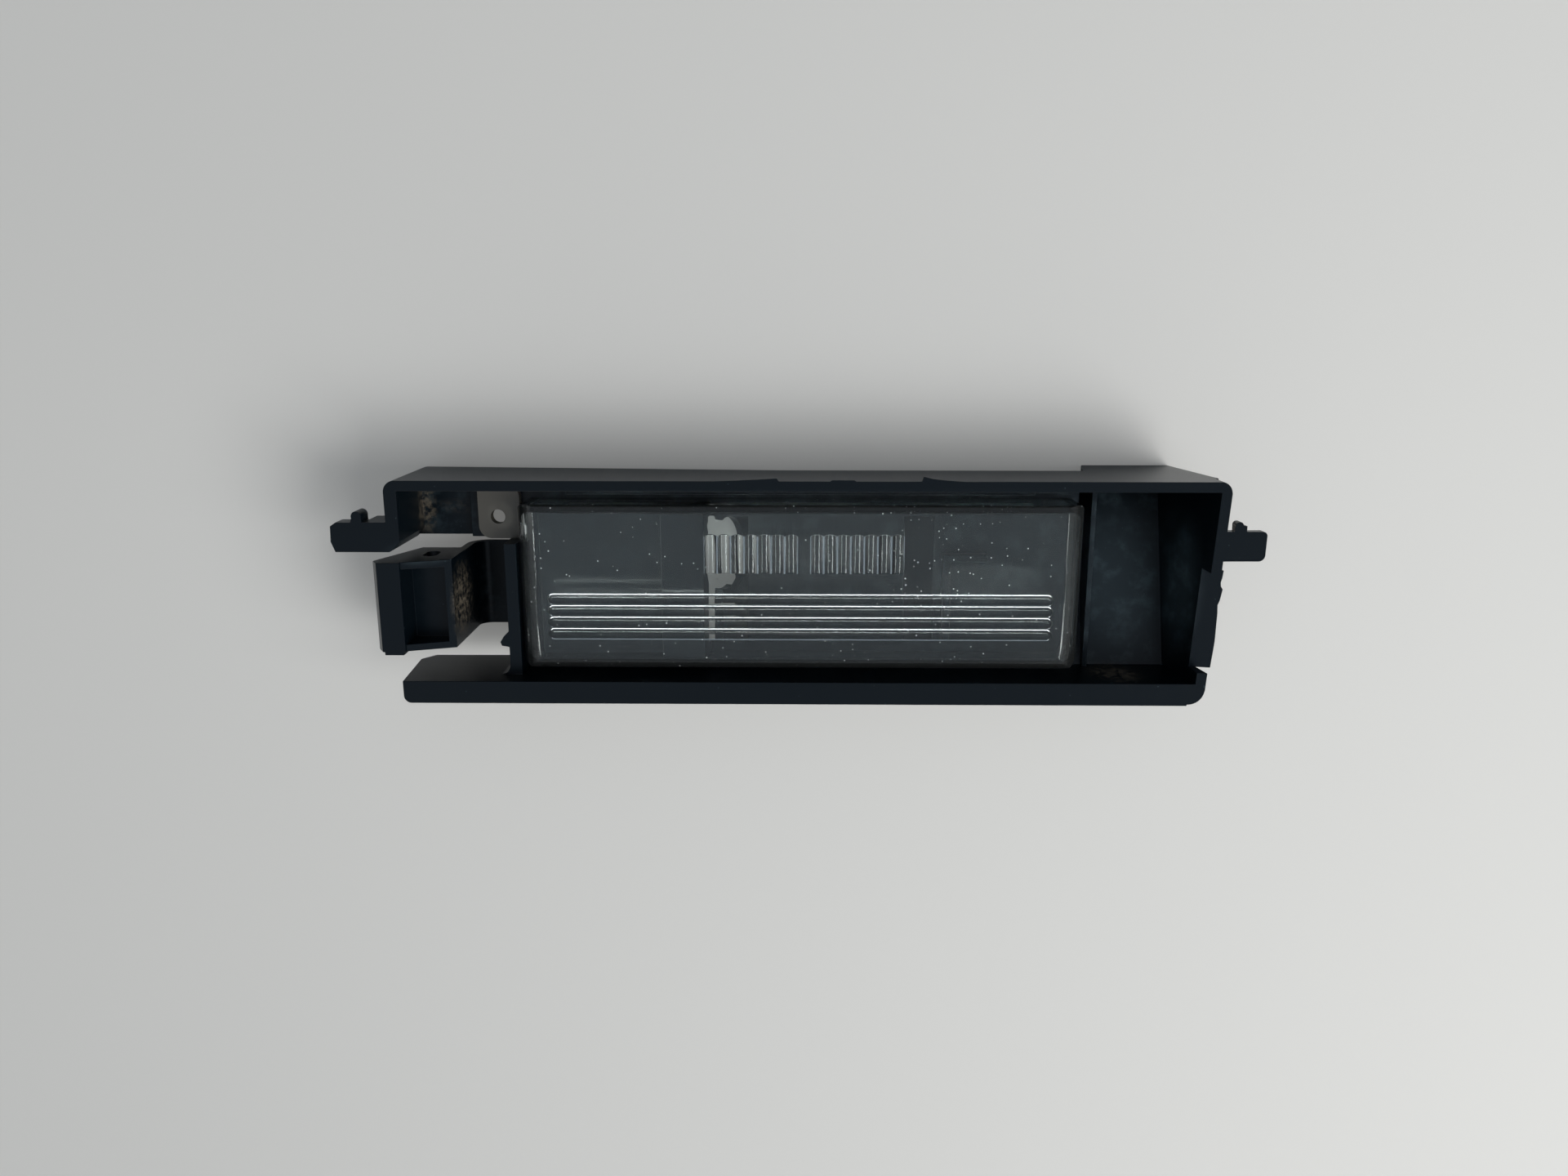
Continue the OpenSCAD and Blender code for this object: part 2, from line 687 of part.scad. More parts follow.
// One optic patch: upright ribs side by side on the inner face, from x0 to the right, with rounded top ends
module patch(x0)
{
    r = rib_radius(rib_pitch, rib_rise);
    y0 = lens_y + patch_up - patch_h / 2;
    y1 = y0 + patch_h;
    intersection() {
        translate([0, 0, rib_base - 2 * rib_rise]) linear_extrude(lens_inner + eps - rib_base + 2 * rib_rise)
            for (i = [0:ribs - 1]) translate([x0 + i * rib_pitch, y0]) intersection() {
                square([rib_pitch, patch_h + cut]);
                union() {
                    square([rib_pitch, patch_h - rib_end_r]);
                    translate([rib_pitch / 2, patch_h - rib_end_r]) circle(rib_end_r);
                }
            }
        for (i = [0:ribs - 1])
            translate([x0 + (i + 0.5) * rib_pitch, y1 + cut, rib_base - rib_rise + r])
                rotate([90, 0, 0]) cylinder(r = r, h = patch_h + 2 * cut);
    }
}

// Fixing tab beside the lens, rounded where it meets the lens' corner
module tab()
{
    translate([0, 0, foot]) linear_extrude(tab_t) {
        rounded_rect([tab_x, tab_y0], [lens_x0 - tab_neck, tab_y1], [tab_corner_r, 0, tab_neck_r, tab_top_r]);
        translate([lens_x0 - tab_neck - eps, tab_y0])
            square([tab_neck + lens_t, lens_y1 - lens_corner_r - tab_y0]);
    }
}

module lens()
{
    color([0.80, 0.84, 0.84, 0.5]) difference() {
        union() {
            difference() {
                lens_form(0, -lens_drop, foot);
                lens_form(lens_t, lens_inner, foot - 2 * cut);
            }
            flutes();
            patch(lens_x + patch_shift - patch_gap / 2 - ribs * rib_pitch);
            patch(lens_x + patch_shift + patch_gap / 2);
            tab();
        }
        translate([tab_hole.x, tab_hole.y, foot - cut]) cylinder(r = tab_hole_r, h = tab_t + 2 * cut);
    }
}

housing();
lens();
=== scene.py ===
"""Number plate lamp: a black moulded housing with a clear fluted lens, lying on its back on a pale board.

Lengths in the classes are millimetres in the lamp's own frame: X runs along the lamp, Y up the rim, and
+Z out of the lens.
"""

import json
import logging
import math
from dataclasses import dataclass, field
from enum import Enum

import bmesh
import bpy
from mathutils import Matrix, Vector

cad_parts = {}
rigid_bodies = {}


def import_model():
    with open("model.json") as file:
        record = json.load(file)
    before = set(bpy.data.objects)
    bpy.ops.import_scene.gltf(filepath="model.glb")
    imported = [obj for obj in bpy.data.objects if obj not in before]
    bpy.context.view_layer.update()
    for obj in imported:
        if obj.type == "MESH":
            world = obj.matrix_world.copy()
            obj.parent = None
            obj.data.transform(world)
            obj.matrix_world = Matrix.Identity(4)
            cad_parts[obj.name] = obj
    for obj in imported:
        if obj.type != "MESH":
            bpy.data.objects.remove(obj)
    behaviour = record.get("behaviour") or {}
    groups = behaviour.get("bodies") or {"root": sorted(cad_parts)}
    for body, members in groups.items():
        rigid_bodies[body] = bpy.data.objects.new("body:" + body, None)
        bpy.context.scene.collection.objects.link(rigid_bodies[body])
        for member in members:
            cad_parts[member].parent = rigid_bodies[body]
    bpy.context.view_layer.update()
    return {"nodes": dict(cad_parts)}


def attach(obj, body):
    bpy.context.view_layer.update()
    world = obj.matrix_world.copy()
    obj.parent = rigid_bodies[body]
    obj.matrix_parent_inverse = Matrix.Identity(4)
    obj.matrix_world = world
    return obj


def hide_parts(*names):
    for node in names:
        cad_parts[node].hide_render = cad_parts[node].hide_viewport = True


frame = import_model()

LOG = logging.getLogger("plate_lamp")
MM = 0.001
Point = tuple[float, float, float]
Span = tuple[float, float]
Box = tuple[Point, Point]
Tree = bpy.types.NodeTree
Socket = bpy.types.NodeSocket

PLUS = {"operation": "ADD"}
TIMES = {"operation": "MULTIPLY"}
TIMES_PLUS = {"operation": "MULTIPLY_ADD"}
LARGER = {"operation": "MAXIMUM"}
SMOOTH_STEP = {"interpolation_type": "SMOOTHSTEP"}
OF_COLOURS = {"data_type": "RGBA"}
COLOUR_OUT = 2


class Slot(Enum):
    """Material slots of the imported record."""

    HOUSING = "housing_plastic"
    LENS = "lens_plastic"


class Lights(Enum):
    """What a soft box is there for."""

    MATT = "matt surfaces"
    CLEAR = "clear plastic"


def colour(code: str) -> tuple[float, float, float, float]:
    """Turns an sRGB hex colour to linear.

    Args:
        code: Six hex digits after a hash sign.

    Returns:
        Linear red, green and blue, then a full alpha.
    """
    out = []
    for i in (1, 3, 5):
        c = int(code[i:i + 2], 16) / 255
        out.append(c / 12.92 if c <= 0.04045 else ((c + 0.055) / 1.055) ** 2.4)
    return out[0], out[1], out[2], 1.0


def mm(p: Point) -> Vector:
    """Returns a point given in millimetres as metres."""
    return Vector(p) * MM


def node(tree: Tree, kind: str, sets: dict | None = None, **links: object) -> bpy.types.Node:
    """Adds one shader node with its settings and links.

    Args:
        tree: Node tree that takes the node.
        kind: Node type without its ShaderNode prefix.
        sets: Attributes of the node, such as its operation.
        links: Inputs by name or by "i" and number. Each is a value, an output socket to link, or a node
            whose first output is linked.

    Returns:
        The new node.
    """
    made = tree.nodes.new("ShaderNode" + kind)
    for name, value in (sets or {}).items():
        setattr(made, name, value)
    for name, value in links.items():
        key = int(name[1:]) if name[0] == "i" and name[1:].isdigit() else name.replace("_", " ")
        source = value.outputs[0] if isinstance(value, bpy.types.Node) else value
        if isinstance(source, Socket):
            tree.links.new(source, made.inputs[key])
        else:
            made.inputs[key].default_value = source
    return made


def between(span: Span) -> dict[str, float]:
    """Returns the values at which a step is 0 and 1, as links of its node."""
    return {"From_Min": span[0], "From_Max": span[1]}


def in_millimetres(tree: Tree) -> bpy.types.Node:
    """Returns a node with the surface's own Object coordinates, in millimetres."""
    place = node(tree, "TexCoord").outputs["Object"]
    return node(tree, "Mapping", None, Vector=place, Scale=(1 / MM, 1 / MM, 1 / MM))


@dataclass(frozen=True)
class Patch:
    """A soft-edged patch on a surface: its middle, its reach along X, Y and Z, and how strong it is."""

    middle: Point
    reach: Point
    strength: float = 1.0

    def draw(self, tree: Tree, where: object, full: float = 0.3) -> bpy.types.Node:
        """Draws the patch.

        Args:
            tree: Node tree that takes the nodes.
            where: Coordinates in millimetres.
            full: Share of the reach that is at full strength.

        Returns:
            Node whose first output is 1 in the patch and 0 outside.
        """
        scale = tuple(1 / r for r in self.reach)
        shift = tuple(-m / r for m, r in zip(self.middle, self.reach))
        near = node(tree, "Mapping", None, Vector=where, Location=shift, Scale=scale)
        out = node(tree, "VectorMath", {"operation": "LENGTH"}, i0=near).outputs["Value"]
        return node(tree, "MapRange", SMOOTH_STEP, Value=out, **between((1.0, full)))


def new_material(name: str) -> tuple[bpy.types.Material, Tree]:
    """Makes an empty material.

    Args:
        name: Name of the real material and how its surface was made.

    Returns:
        The material and its tree.
    """
    made = bpy.data.materials.new(name)
    made.use_nodes = True
    made.node_tree.nodes.clear()
    return made, made.node_tree


@dataclass(frozen=True)
class MouldedPolyamide:
    """Black polyamide moulded in a lightly eroded tool: a slate-black satin with a fine grain, dust and dirt,
    and painted light on one wall.

    The grain of the tool gives the satin its soft sheen, and the dust lies where a cloth never reaches.
    """

    base: str = "#050D13"
    dust: str = "#52636A"
    dirt_and_painted_light: str = "#686053"
    roughness: float = 0.31
    dusty_roughness: float = 0.75
    ior: float = 1.53
    specular: float = 0.36
    # Grain of the tool, drawn coarser than the real one of about 0.03 mm so that it shows
    grain_mm: float = 0.12
    grain_height_mm: float = 0.02
    grain_strength: float = 0.18
    # Thickness that dust and dirt add, as a share of the grain's height
    layer: float = 0.6
    # Thin film of dust on level floors, from a depth down to where it is full
    cloud_mm: float = 3.2
    cloud_span: Span = (0.45, 0.72)
    level_span: Span = (0.3, 0.95)
    deep_span: Span = (-4.0, -12.0)
    film: float = 0.2
    # Single specks: only cells whose random number is high hold one
    speck_mm: float = 0.9
    speck_cells: Span = (0.8, 0.96)
    speck_edge: Span = (0.13, 0.05)
    speck: float = 0.5
    # Dust that lies thicker, part even and part cloudy
    haze_even: float = 0.36
    haze_cloudy: float = 0.6
    dusty: tuple[Patch, ...] = (
        Patch((52.0, 2.0, -12.0), (12.0, 18.0, 9.0), 0.4),
        Patch((58.5, 0.0, -8.0), (5.5, 14.0, 7.0), 0.8),
        Patch((-59.0, 6.5, -1.5), (7.0, 2.6, 4.0), 0.45),
    )
    # Brown dirt in the corners of the recess and round the latch's leaf; in the closed end, brown dirt laid
    # on thick as painted light on a face the lamps leave dark
    dirt_and_painted_light_mm: float = 1.1
    dirt_and_painted_light_span: Span = (0.40, 0.62)
    dirty_and_painted_light: tuple[Patch, ...] = (
        Patch((-61.2, 11.5, -12.2), (2.0, 6.0, 4.0), 0.62),
        Patch((-56.0, 11.8, -12.0), (5.0, 1.6, 1.5), 0.12),
        Patch((-54.4, -2.5, -7.5), (1.8, 8.0, 8.0), 0.95),
        Patch((-53.0, -7.0, -13.0), (2.4, 3.4, 6.0), 0.95),
        # Partly real brown dirt and partly painted light: laid on thick so that the unlit inner face of the
        # bottom wall looks lit
        Patch((49.6, -14.0, -5.5), (5.4, 1.6, 6.0), 0.95),
    )

    def dust_cover(self, tree: Tree, where: object) -> bpy.types.Node:
        """Draws how much dust covers the plastic.

        Args:
            tree: Node tree that takes the nodes.
            where: Coordinates in millimetres.

        Returns:
            Node whose first output is 0 on bare plastic and 1 under full dust.
        """
        normal = node(tree, "NewGeometry").outputs["Normal"]
        up = node(tree, "SeparateXYZ", None, Vector=normal).outputs["Z"]
        depth = node(tree, "SeparateXYZ", None, Vector=where).outputs["Z"]
        noise = node(tree, "TexNoise", None, Vector=where, Scale=1 / self.cloud_mm, Detail=5.0,
                     Roughness=0.62)
        clouds = node(tree, "MapRange", SMOOTH_STEP, Value=noise, **between(self.cloud_span))
        level = node(tree, "MapRange", SMOOTH_STEP, Value=up, **between(self.level_span))
        deep = node(tree, "MapRange", SMOOTH_STEP, Value=depth, **between(self.deep_span))
        lies = node(tree, "Math", TIMES, i0=level, i1=deep)
        thin = node(tree, "Math", TIMES, i0=clouds, i1=lies)
        cover = node(tree, "Math", TIMES, i0=thin, i1=self.film)
        for patch in self.dusty:
            uneven = node(tree, "Math", TIMES_PLUS, i0=clouds, i1=self.haze_cloudy, i2=self.haze_even)
            haze = node(tree, "Math", TIMES, i0=uneven, i1=patch.strength)
            here = node(tree, "Math", TIMES, i0=haze, i1=patch.draw(tree, where))
            cover = node(tree, "Math", LARGER, i0=cover, i1=here)

        cells = node(tree, "TexVoronoi", None, Vector=where, Scale=1 / self.speck_mm, Randomness=1.0)
        chance = node(tree, "SeparateColor", None, Color=cells.outputs["Color"])
        rare = node(tree, "MapRange", SMOOTH_STEP, Value=chance, **between(self.speck_cells))
        away = cells.outputs["Distance"]
        dots = node(tree, "MapRange", SMOOTH_STEP, Value=away, **between(self.speck_edge))
        specks = node(tree, "Math", TIMES, i0=dots, i1=rare)
        faint = node(tree, "Math", TIMES, i0=specks, i1=self.speck)
        return node(tree, "Math", LARGER, i0=cover, i1=faint)

    def dirt_and_painted_light_cover(self, tree: Tree, where: object) -> bpy.types.Node:
        """Draws how much dirt covers the plastic, together with the painted light on one wall of the closed
        end.

        Args:
            tree: Node tree that takes the nodes.
            where: Coordinates in millimetres.

        Returns:
            Node whose first output is 0 where there is neither dirt nor painted light, and 1 where it is
            thick.
        """
        noise = node(tree, "TexNoise", None, Vector=where, Scale=1 / self.dirt_and_painted_light_mm, Detail=6.0, Roughness=0.7)
        patchy = node(tree, "MapRange", SMOOTH_STEP, Value=noise, **between(self.dirt_and_painted_light_span))
        cover = None
        for patch in self.dirty_and_painted_light:
            here = node(tree, "Math", TIMES, i0=patch.draw(tree, where), i1=patch.strength)
            cover = here if cover is None else node(tree, "Math", LARGER, i0=cover, i1=here)
        return node(tree, "Math", TIMES, i0=cover, i1=patchy)

    def make(self) -> bpy.types.Material:
        """Makes the material, with its patterns in millimetres.

        Returns:
            The material.
        """
        made, tree = new_material("black_polyamide_moulded")
        where = in_millimetres(tree)
        pale = self.dust_cover(tree, where)
        # Brown dirt, with painted light on the inner face of the closed end's bottom wall
        soil_and_painted_light = self.dirt_and_painted_light_cover(tree, where)
        dusted = node(tree, "Mix", OF_COLOURS, i0=pale, i6=colour(self.base), i7=colour(self.dust))
        soiled_and_painted_light = node(tree, "Mix", OF_COLOURS, i0=soil_and_painted_light, i6=dusted.outputs[COLOUR_OUT], i7=colour(self.dirt_and_painted_light))

        # Dust, dirt and the painted light on the closed end's wall all roughen the surface and raise it
        worn_and_painted_light = node(tree, "Math", LARGER, i0=pale, i1=soil_and_painted_light)
        rough = node(tree, "MapRange", None, Value=worn_and_painted_light, To_Min=self.roughness, To_Max=self.dusty_roughness)
        grain = node(tree, "TexNoise", None, Vector=where, Scale=1 / self.grain_mm, Detail=2.0)
        layer = node(tree, "Math", TIMES, i0=worn_and_painted_light, i1=self.layer)
        height = node(tree, "Math", PLUS, i0=grain, i1=layer)
        bump = node(tree, "Bump", None, Strength=self.grain_strength, Distance=self.grain_height_mm * MM,
                    Height=height)
        shader = node(tree, "BsdfPrincipled", None, Base_Color=soiled_and_painted_light.outputs[COLOUR_OUT], Roughness=rough,
                      IOR=self.ior, Specular_IOR_Level=self.specular, Normal=bump)
        node(tree, "OutputMaterial", None, Surface=shader)
        return made


@dataclass(frozen=True)
class ClearAcrylic:
    """Clear acrylic from a polished tool: glass-like, with a thin film of dust and fine specks on it."""

    tint: str = "#E3EAE9"
    ior: float = 1.49
    clearness: float = 0.985
    # Film of dust: it only widens the reflections
    film_mm: float = 9.0
    film_span: Span = (0.35, 0.7)
    roughness: float = 0.01
    film_roughness: float = 0.05
    # White specks, which lie closer together in the patches
    speck_mm: float = 0.62
    speck_cells: Span = (0.95, 0.985)
    speck_edge: Span = (0.26, 0.1)
    speck_whiteness: float = 0.7
    speck_gathering: float = 0.1
    patch_full: float = 0.2
    speckled: tuple[Patch, ...] = (
        Patch((22.0, 3.0, -2.2), (17.0, 13.0, 6.0)),
        Patch((20.0, 12.6, -3.0), (22.0, 1.2, 4.0)),
        Patch((24.0, -11.2, -4.0), (16.0, 1.6, 4.0)),
    )

    def make(self) -> bpy.types.Material:
        """Makes the material, with its film and specks in millimetres.

        Returns:
            The material.
        """
        made, tree = new_material("clear_acrylic_polished")
        where = in_millimetres(tree)
        film = node(tree, "TexNoise", None, Vector=where, Scale=1 / self.film_mm, Detail=3.0)
        rough = node(tree, "MapRange", None, Value=film, To_Min=self.roughness, To_Max=self.film_roughness,
                     **between(self.film_span))

        cells = node(tree, "TexVoronoi", None, Vector=where, Scale=1 / self.speck_mm, Randomness=1.0)
        chance = node(tree, "SeparateColor", None, Color=cells.outputs["Color"])
        thick = None
        for patch in self.speckled:
            here = patch.draw(tree, where, self.patch_full)
            thick = here if thick is None else node(tree, "Math", LARGER, i0=thick, i1=here)
        gathered = node(tree, "Math", TIMES, i0=thick, i1=self.speck_gathering)
        likely = node(tree, "Math", PLUS, i0=chance, i1=gathered)
        rare = node(tree, "MapRange", SMOOTH_STEP, Value=likely, **between(self.speck_cells))
        away = cells.outputs["Distance"]
        dots = node(tree, "MapRange", SMOOTH_STEP, Value=away, **between(self.speck_edge))
        specks = node(tree, "Math", TIMES, i0=dots, i1=rare)
        clear = node(tree, "Math", TIMES_PLUS, i0=specks, i1=-self.speck_whiteness, i2=self.clearness)

        shader = node(tree, "BsdfPrincipled", None, Base_Color=colour(self.tint), Roughness=rough,
                      IOR=self.ior, Transmission_Weight=clear)
        node(tree, "OutputMaterial", None, Surface=shader)
        return made


@dataclass(frozen=True)
class FrostedAcrylic:
    """The same acrylic where the tool was left etched: milky, and brighter than the black behind it."""

    tint: str = "#55524A"
    ior: float = 1.49
    roughness: float = 0.5
    clearness: float = 0.35
    grain_mm: float = 0.2
    grain_height_mm: float = 0.02
    grain_strength: float = 0.25

    def make(self) -> bpy.types.Material:
        """Makes the material, with its etched grain in millimetres.

        Returns:
            The material.
        """
        made, tree = new_material("acrylic_etched")
        where = in_millimetres(tree)
        grain = node(tree, "TexNoise", None, Vector=where, Scale=1 / self.grain_mm, Detail=2.0)
        bump = node(tree, "Bump", None, Strength=self.grain_strength, Distance=self.grain_height_mm * MM,
                    Height=grain)
        shader = node(tree, "BsdfPrincipled", None, Base_Color=colour(self.tint), Roughness=self.roughness,
                      IOR=self.ior, Transmission_Weight=self.clearness, Normal=bump)
        node(tree, "OutputMaterial", None, Surface=shader)
        return made


@dataclass(frozen=True)
class PaleBoard:
    """Matt painted board under the lamp: an even off-white that stays pale under and beside the lamp.

    Part of its paleness is given to the camera and to what is seen through the lens, and none to reflections.
    """

    paint: str = "#DAD9D5"
    roughness: float = 0.85
    lift: float = 0.18

    def make(self) -> bpy.types.Material:
        """Makes the material.

        Returns:
            The material.
        """
        made, tree = new_material("board_painted")
        paint = node(tree, "BsdfPrincipled", None, Base_Color=colour(self.paint), Roughness=self.roughness)
        path = node(tree, "LightPath").outputs
        direct = node(tree, "Math", TIMES, i0=path["Is Camera Ray"], i1=self.lift)
        share = node(tree, "Math", TIMES_PLUS, i0=path["Is Transmission Ray"], i1=self.lift, i2=direct)
        glow = node(tree, "Emission", None, Color=colour(self.paint), Strength=1.0)
        both = node(tree, "MixShader", None, i0=share, i1=paint, i2=glow)
        node(tree, "OutputMaterial", None, Surface=both)
        return made


def deselect() -> None:
    """Leaves nothing selected."""
    for ob in bpy.context.view_layer.objects:
        ob.select_set(False)


def make_active(ob: bpy.types.Object) -> None:
    """Selects one object alone and makes it active.

    Args:
        ob: The object.
    """
    deselect()
    ob.select_set(True)
    bpy.context.view_layer.objects.active = ob


def merged_copy(source: str, name: str, merge: float, flat_angle: float) -> bpy.types.Object:
    """Copies a CAD node's mesh and merges its loose triangles into clean faces.

    Args:
        source: Name of the CAD node.
        name: Name of the new object.
        merge: Corners closer than this, in millimetres, become one.
        flat_angle: Faces that turn by less than this, in degrees, become one.

    Returns:
        The new object, linked to the scene.
    """
    sliver = 0.001 * MM
    mesh = frame["nodes"][source].data.copy()
    mesh.name = name
    mesh.materials.clear()
    made = bpy.data.objects.new(name, mesh)
    bpy.context.scene.collection.objects.link(made)
    made.matrix_world = Matrix.Identity(4)
    if "custom_normal" in mesh.attributes:
        mesh.attributes.remove(mesh.attributes["custom_normal"])
    while mesh.uv_layers:
        mesh.uv_layers.remove(mesh.uv_layers[0])
    make_active(made)
    bpy.ops.object.mode_set(mode="EDIT")
    bpy.ops.mesh.select_all(action="SELECT")
    bpy.ops.mesh.remove_doubles(threshold=merge * MM)
    bpy.ops.mesh.dissolve_degenerate(threshold=sliver)
    bpy.ops.mesh.dissolve_limited(angle_limit=math.radians(flat_angle), delimit={"NORMAL"})
    bpy.ops.mesh.select_all(action="DESELECT")
    bpy.ops.object.mode_set(mode="OBJECT")
    return made


def soften_edges(ob: bpy.types.Object, width: float, from_angle: float, shortest: float,
                 kept_sharp: tuple[Box, ...]) -> None:
    """Bevels the sharp edges of a moulding in edit mode.

    Args:
        ob: The moulding.
        width: Width of the bevel in millimetres.
        from_angle: Edges that turn by more than this, in degrees, are softened.
        shortest: Edges shorter than this, in millimetres, stay as they are.
        kept_sharp: Lowest and highest corner of each stretch whose edges stay sharp.
    """
    boxes = [(mm(low), mm(high)) for low, high in kept_sharp]
    make_active(ob)
    bpy.ops.object.mode_set(mode="EDIT")
    bpy.ops.mesh.select_mode(type="EDGE")
    bpy.ops.mesh.select_all(action="DESELECT")
    work = bmesh.from_edit_mesh(ob.data)
    for edge in work.edges:
        turned = edge.is_manifold and edge.calc_face_angle(0.0) > math.radians(from_angle)
        middle = (edge.verts[0].co + edge.verts[1].co) / 2
        sharp = any(all(low[i] < middle[i] < high[i] for i in range(3)) for low, high in boxes)
        edge.select_set(turned and not sharp and edge.calc_length() > shortest * MM)
    bmesh.update_edit_mesh(ob.data)
    bpy.ops.mesh.bevel(offset=width * MM, offset_type="WIDTH", segments=2, profile=0.5, clamp_overlap=False,
                       loop_slide=False, affect="EDGES")
    bpy.ops.mesh.select_all(action="DESELECT")
    bpy.ops.object.mode_set(mode="OBJECT")


def even_shading(ob: bpy.types.Object) -> None:
    """Lets the large faces lead the shading, so that flat walls stay flat beside their soft edges.

    Args:
        ob: The moulding.
    """
    make_active(ob)
    weighted = ob.modifiers.new("weighted_normals", "WEIGHTED_NORMAL")
    weighted.mode = "FACE_AREA"
    weighted.weight = 100
    weighted.keep_sharp = True
    bpy.ops.object.modifier_apply(modifier=weighted.name)


def smooth(ob: bpy.types.Object, angle: float) -> None:
    """Shades a moulding smooth, with its edges past an angle in degrees kept sharp."""
    make_active(ob)
    bpy.ops.object.shade_smooth_by_angle(angle=math.radians(angle))


@dataclass
class Housing:
    """The black moulding: rim, cavities, tongues, latch, chamber and hood."""

    merge: float = 0.06
    flat_angle: float = 0.6
    edge_width: float = 0.14
    edge_angle: float = 38.0
    shortest_edge: float = 0.1
    smooth_angle: float = 34.0
    # The torn stretch of the end wall, the tongue's root, and two tight corners of the back
    kept_sharp: tuple[Box, ...] = (
        ((60.0, -14.5, -6.5), (66.5, 4.6, 0.5)),
        ((62.4, 4.6, -3.2), (64.2, 13.6, 0.5)),
        ((-48.8, -17.5, -14.8), (-45.5, -11.5, -14.0)),
        ((-15.5, 9.8, -10.5), (-12.5, 11.2, -9.8)),
    )
    finish: MouldedPolyamide = field(default_factory=MouldedPolyamide)

    def build(self) -> bpy.types.Object:
        """Makes the softened copy of the CAD moulding that stands for the node.

        Returns:
            The moulding.
        """
        body = merged_copy("housing", "housing_moulding", self.merge, self.flat_angle)
        soften_edges(body, self.edge_width, self.edge_angle, self.shortest_edge, self.kept_sharp)
        smooth(body, self.smooth_angle)
        even_shading(body)
        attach(body, "root")
        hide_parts("housing")
        return body

    def dress(self, body: bpy.types.Object) -> None:
        """Gives the moulding its plastic."""
        body.data.materials.append(self.finish.make())


@dataclass
class Lens:
    """The clear moulding with its flutes, optic patches and frosted tab."""

    merge: float = 0.002
    flat_angle: float = 0.3
    smooth_angle: float = 30.0
    tab_end_x: float = -45.2
    clear: ClearAcrylic = field(default_factory=ClearAcrylic)
    frosted: FrostedAcrylic = field(default_factory=FrostedAcrylic)

    def build(self) -> bpy.types.Object:
        """Makes the smooth copy of the CAD lens that stands for the node.

        Returns:
            The lens.
        """
        body = merged_copy("lens", "lens_moulding", self.merge, self.flat_angle)
        smooth(body, self.smooth_angle)
        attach(body, "root")
        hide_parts("lens")
        return body

    def dress(self, body: bpy.types.Object) -> None:
        """Gives the lens its clear plastic, and its tab the etched one.

        Args:
            body: The lens.
        """
        body.data.materials.append(self.clear.make())
        body.data.materials.append(self.frosted.make())
        for face in body.data.polygons:
            face.material_index = 1 if face.center.x < self.tab_end_x * MM else 0


@dataclass(frozen=True)
class SoftBox:
    """A soft box that points at the lamp: its name, place, width and height, watts, and what it is there for.

    No soft box shows in the black plastic's sheen, which mirrors only the even light from all round.
    """

    name: str
    place: Point
    size: Span
    watts: float
    lights: Lights

    def hang(self) -> bpy.types.Object:
        """Hangs the soft box at its place.

        Returns:
            The light.
        """
        lamp = bpy.data.lights.new(self.name, "AREA")
        lamp.shape = "RECTANGLE"
        lamp.size = self.size[0] * MM
        lamp.size_y = self.size[1] * MM
        lamp.energy = self.watts
        ob = bpy.data.objects.new(self.name, lamp)
        bpy.context.scene.collection.objects.link(ob)
        ob.location = mm(self.place)
        ob.rotation_euler = (-mm(self.place)).to_track_quat("-Z", "Y").to_euler()
        ob.visible_glossy = False
        ob.visible_transmission = self.lights is Lights.CLEAR
        ob.visible_diffuse = self.lights is Lights.MATT
        return ob


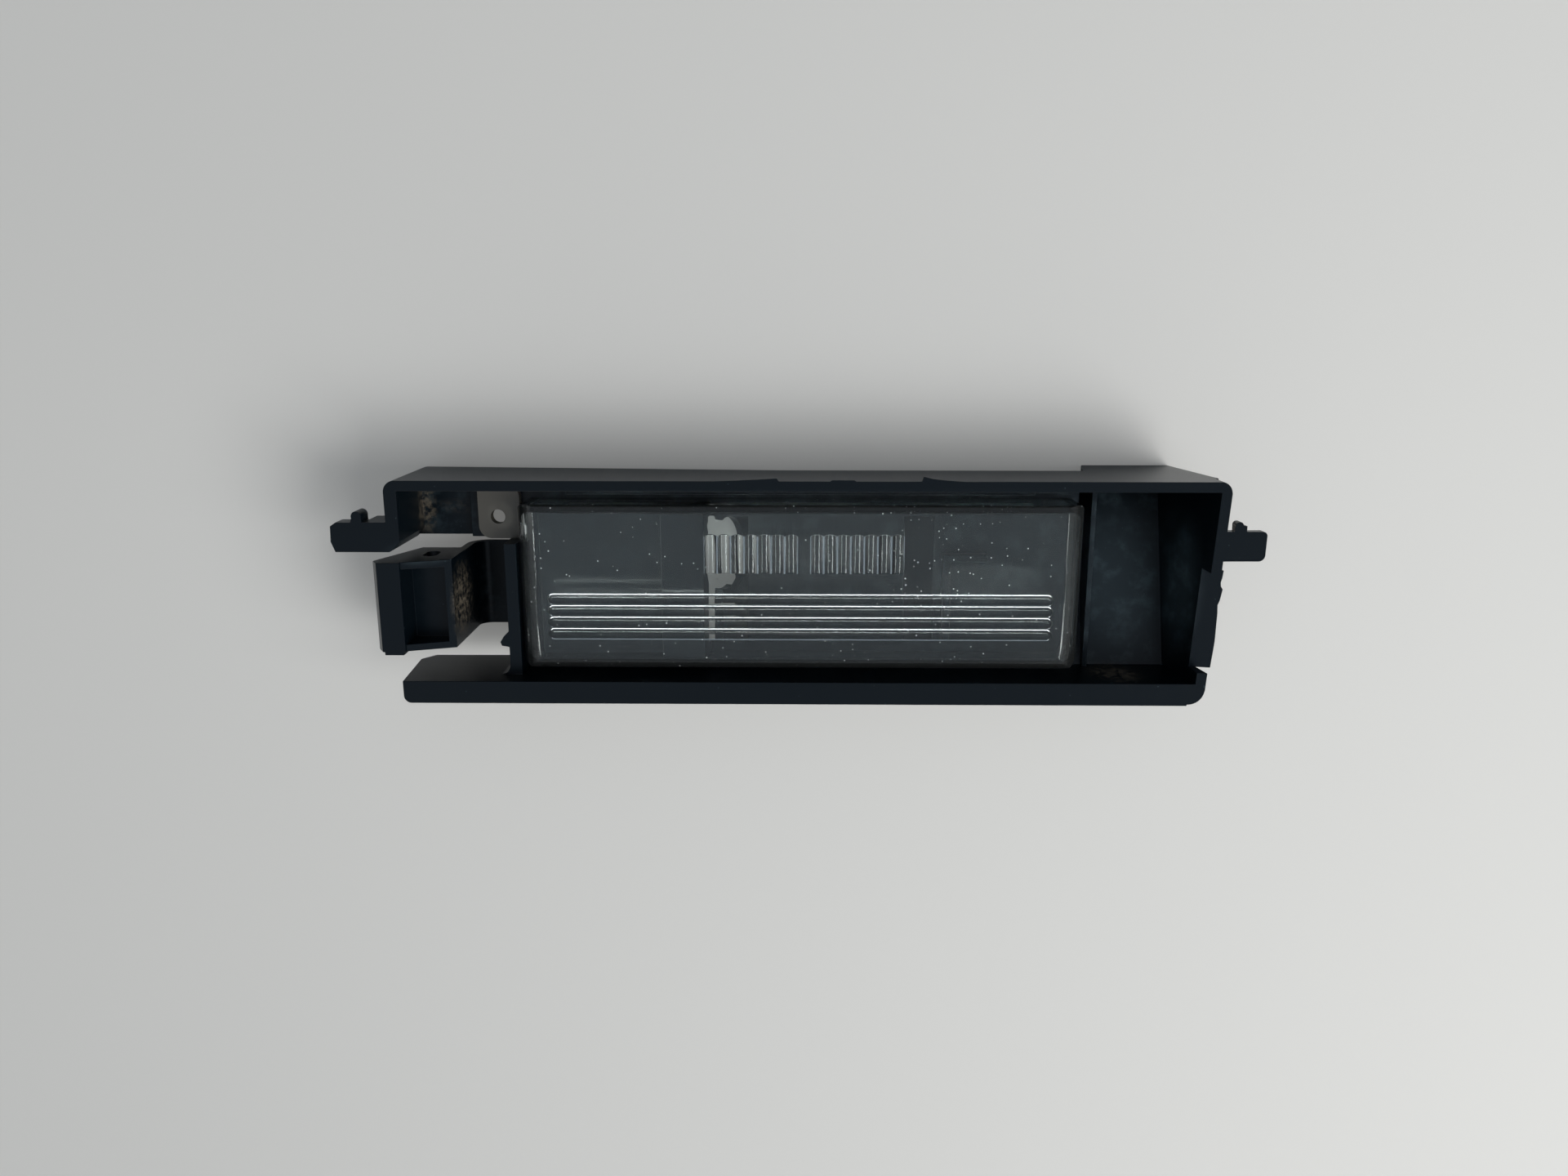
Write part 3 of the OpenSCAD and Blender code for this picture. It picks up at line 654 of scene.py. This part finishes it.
@dataclass
class Studio:
    """Pale board, even light from all round, and four soft boxes."""

    board_z: float = -19.6
    board_w: float = 2400.0
    board: PaleBoard = field(default_factory=PaleBoard)
    # Light from all round: one tone overhead, and round the sides a dim and a bright one
    overhead: str = "#949EA9"
    overhead_span: Span = (0.25, 0.95)
    dim_side: str = "#5A5B5E"
    bright_side: str = "#FFFEFA"
    bright_span: Span = (0.0, 0.95)
    bright_towards: Point = (0.1, -0.995, 0.0)
    backdrop: str = "#F4F4F2"
    sky_strength: float = 0.76
    soft_boxes: tuple[SoftBox, ...] = (
        SoftBox("key", (400.0, -170.0, 480.0), (420.0, 420.0), 3.7, Lights.MATT),
        SoftBox("strip", (40.0, -600.0, 430.0), (900.0, 260.0), 12.5, Lights.CLEAR),
        SoftBox("window_left", (-520.0, -140.0, 470.0), (260.0, 300.0), 3.2, Lights.CLEAR),
        SoftBox("window_right", (540.0, -150.0, 440.0), (220.0, 260.0), 1.3, Lights.CLEAR),
    )

    def floor(self) -> bpy.types.Object:
        """Makes the board that the lamp lies on.

        Returns:
            The board.
        """
        deselect()
        bpy.ops.mesh.primitive_plane_add(size=self.board_w * MM, location=(0, 0, self.board_z * MM))
        made = bpy.context.object
        made.name = "board"
        bpy.ops.object.transform_apply(location=True, rotation=True, scale=True)
        made.data.materials.append(self.board.make())
        return made

    def world(self) -> None:
        """Lights the scene evenly from all round, with a plain pale backdrop for the camera."""
        made = bpy.data.worlds.new("soft_light")
        bpy.context.scene.world = made
        made.use_nodes = True
        tree = made.node_tree
        tree.nodes.clear()
        toward = node(tree, "TexCoord").outputs["Generated"]
        height = node(tree, "SeparateXYZ", None, Vector=toward).outputs["Z"]
        across = node(tree, "VectorMath", {"operation": "DOT_PRODUCT"}, i0=toward, i1=self.bright_towards)
        facing = across.outputs["Value"]
        bright = node(tree, "MapRange", SMOOTH_STEP, Value=facing, **between(self.bright_span))
        sides = node(tree, "Mix", OF_COLOURS, i0=bright, i6=colour(self.dim_side),
                     i7=colour(self.bright_side))
        high = node(tree, "MapRange", SMOOTH_STEP, Value=height, **between(self.overhead_span))
        tone = node(tree, "Mix", OF_COLOURS, i0=high, i6=sides.outputs[COLOUR_OUT], i7=colour(self.overhead))
        seen = node(tree, "LightPath").outputs["Is Camera Ray"]
        shown = node(tree, "Mix", OF_COLOURS, i0=seen, i6=tone.outputs[COLOUR_OUT], i7=colour(self.backdrop))
        light = node(tree, "Background", None, Color=shown.outputs[COLOUR_OUT], Strength=self.sky_strength)
        node(tree, "OutputWorld", None, Surface=light)

    def light(self) -> None:
        """Sets up all the light."""
        self.world()
        for soft_box in self.soft_boxes:
            soft_box.hang()


@dataclass
class ViewCamera:
    """Camera at the photograph's place and angle: high over the lamp, tilted back a little."""

    place: Point = (-1.341, 42.03576, 170.07372)
    right: Point = (0.99993, 0.00024, -0.01172)
    back: Point = (0.01134, 0.23344, 0.97230)
    focal: float = 26.25
    sensor: float = 36.0
    nearest: float = 5.0
    farthest: float = 20000.0

    def build(self) -> bpy.types.Object:
        """Makes the camera and sets it as the scene's.

        Returns:
            The camera.
        """
        data = bpy.data.cameras.new("view")
        data.sensor_width = self.sensor
        data.lens = self.focal
        data.clip_start = self.nearest * MM
        data.clip_end = self.farthest * MM
        ob = bpy.data.objects.new("view", data)
        back = Vector(self.back).normalized()
        up = back.cross(Vector(self.right)).normalized()
        right = up.cross(back).normalized()
        turn = Matrix((right, up, back)).transposed().to_4x4()
        ob.matrix_world = Matrix.Translation(mm(self.place)) @ turn
        bpy.context.scene.collection.objects.link(ob)
        bpy.context.scene.camera = ob
        return ob


def main() -> None:
    """Builds the camera, the studio and the lamp's pieces in order."""
    logging.basicConfig(level=logging.INFO, format="%(name)s: %(message)s")
    bpy.context.scene.view_settings.view_transform = "Standard"
    ViewCamera().build()
    studio = Studio()
    studio.floor()
    studio.light()

    housing = Housing()
    moulding = housing.build()
    housing.dress(moulding)
    LOG.info("housing: %d faces", len(moulding.data.polygons))

    lens = Lens()
    glass = lens.build()
    lens.dress(glass)
    LOG.info("lens: %d faces", len(glass.data.polygons))


if __name__ == "__main__":
    main()
